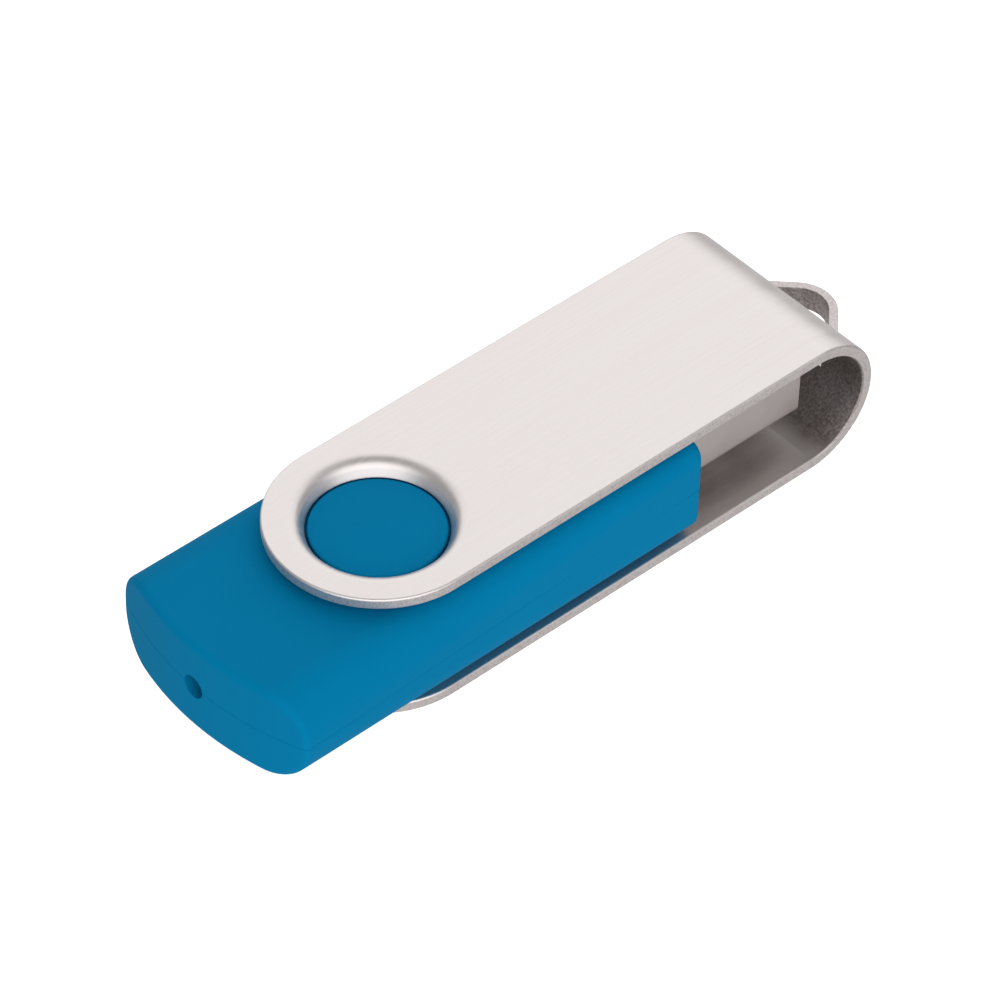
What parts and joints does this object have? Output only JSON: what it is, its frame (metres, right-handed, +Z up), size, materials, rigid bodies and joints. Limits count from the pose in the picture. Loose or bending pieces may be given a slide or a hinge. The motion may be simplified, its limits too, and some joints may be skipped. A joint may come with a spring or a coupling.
{
  "type": "usb flash drive",
  "caption": "Swivel USB flash drive: blue plastic drive with round pivot buttons in a U-shaped brushed metal clip that covers the plug and has a keyring loop.",
  "frame": {"origin": "centre of the bounding box in X and Y, at the bottom: the outer face of the lower arm of the clip, which the drive rests on", "axes": "+X from the drive's bowed back towards the plug and the clip's bend, +Y across the drive, +Z up along the swivel axis, from the lower arm of the clip to the upper arm"},
  "size_m": [0.0646, 0.0208, 0.012],
  "materials": {
    "blue_plastic": "moulded, soft-touch satin",
    "clip_metal": "brushed lengthwise, satin",
    "plug_steel": "nickel plated",
    "tongue_plastic": "moulded",
    "contact_gold": "gold plated",
    "board_laminate": "glass epoxy laminate with solder mask",
    "package_plastic": "moulded epoxy",
    "lead_metal": "tinned",
    "crystal_ceramic": "fired ceramic",
    "crystal_metal": "nickel plated",
    "led_lens": "clear moulded resin",
    "capacitor_ceramic": "fired ceramic",
    "resistor_ceramic": "fired ceramic with glaze",
    "bead_ferrite": "fired ferrite"
  },
  "bodies": {
    "drive": {"upper_shell": "blue_plastic", "lower_shell": "blue_plastic", "plug_shell": "plug_steel", "plug_tongue": "tongue_plastic", "contact_vbus": "contact_gold", "contact_data_minus": "contact_gold", "contact_data_plus": "contact_gold", "contact_ground": "contact_gold", "circuit_board": "board_laminate", "flash_memory_chip": "package_plastic", "flash_memory_leads": "lead_metal", "controller_chip": "package_plastic", "controller_leads": "lead_metal", "voltage_regulator": "package_plastic", "voltage_regulator_leads": "lead_metal", "crystal_base": "crystal_ceramic", "crystal_lid": "crystal_metal", "activity_led": "led_lens", "ferrite_bead": "bead_ferrite", "capacitors": "capacitor_ceramic", "resistors": "resistor_ceramic"},
    "clip": {"swivel_clip": "clip_metal"}
  },
  "joints": [
    {"name": "clip_swivel", "type": "hinge", "parent": "drive", "child": "clip", "pos_m": [-0.01445, 0, 0.006], "axis": [0, 0, 1], "continuous": true}
  ]
}
